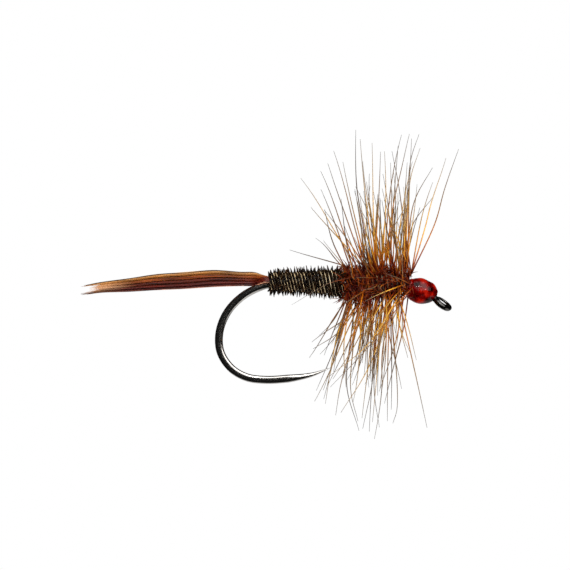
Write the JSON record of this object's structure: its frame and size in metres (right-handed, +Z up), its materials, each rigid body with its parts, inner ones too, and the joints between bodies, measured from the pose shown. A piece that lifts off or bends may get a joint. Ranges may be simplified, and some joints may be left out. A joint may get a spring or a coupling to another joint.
{
  "type": "dry fly",
  "caption": "Barbless dry fly: eyed hook dressed with a feather tail, a wound herl body, two wound hackles and a varnished thread head, tied to a fishing leader.",
  "frame": {"origin": "centre of the hook eye, where the leader is tied", "axes": "+X forwards along the hook shank towards the eye, +Y across the hook, +Z up from the hook point towards the shank"},
  "size_m": [0.0207, 0.0165, 0.0164],
  "materials": {
    "hook_steel": "black nickel on forged steel wire, glossy",
    "tying_thread": "waxed tying thread, deep red",
    "tail_feather": "chestnut feather fibres, satin",
    "herl": "dark brown herl with short bristling flue and golden brown stems",
    "hackle_brown": "red brown cock hackle, glossy barbs",
    "hackle_ginger": "ginger cock hackle, glossy barbs with pale translucent tips",
    "varnish": "clear head varnish over red thread, high gloss"
  },
  "bodies": {
    "root": {"hook": "hook_steel", "thread_underbody": "tying_thread", "tail_fibre_01": "tail_feather", "tail_fibre_02": "tail_feather", "tail_fibre_03": "tail_feather", "tail_fibre_04": "tail_feather", "tail_fibre_05": "tail_feather", "tail_fibre_06": "tail_feather", "tail_fibre_07": "tail_feather", "tail_fibre_08": "tail_feather", "tail_fibre_09": "tail_feather", "tail_fibre_10": "tail_feather", "body_herl_1": "herl", "body_herl_2": "herl", "body_herl_3": "herl", "body_herl_4": "herl", "thread_hackle_bed": "tying_thread", "hackle_brown": "hackle_brown", "hackle_ginger": "hackle_ginger", "head_thread": "tying_thread", "whip_finish": "tying_thread", "head_varnish": "varnish"}
  },
  "joints": []
}
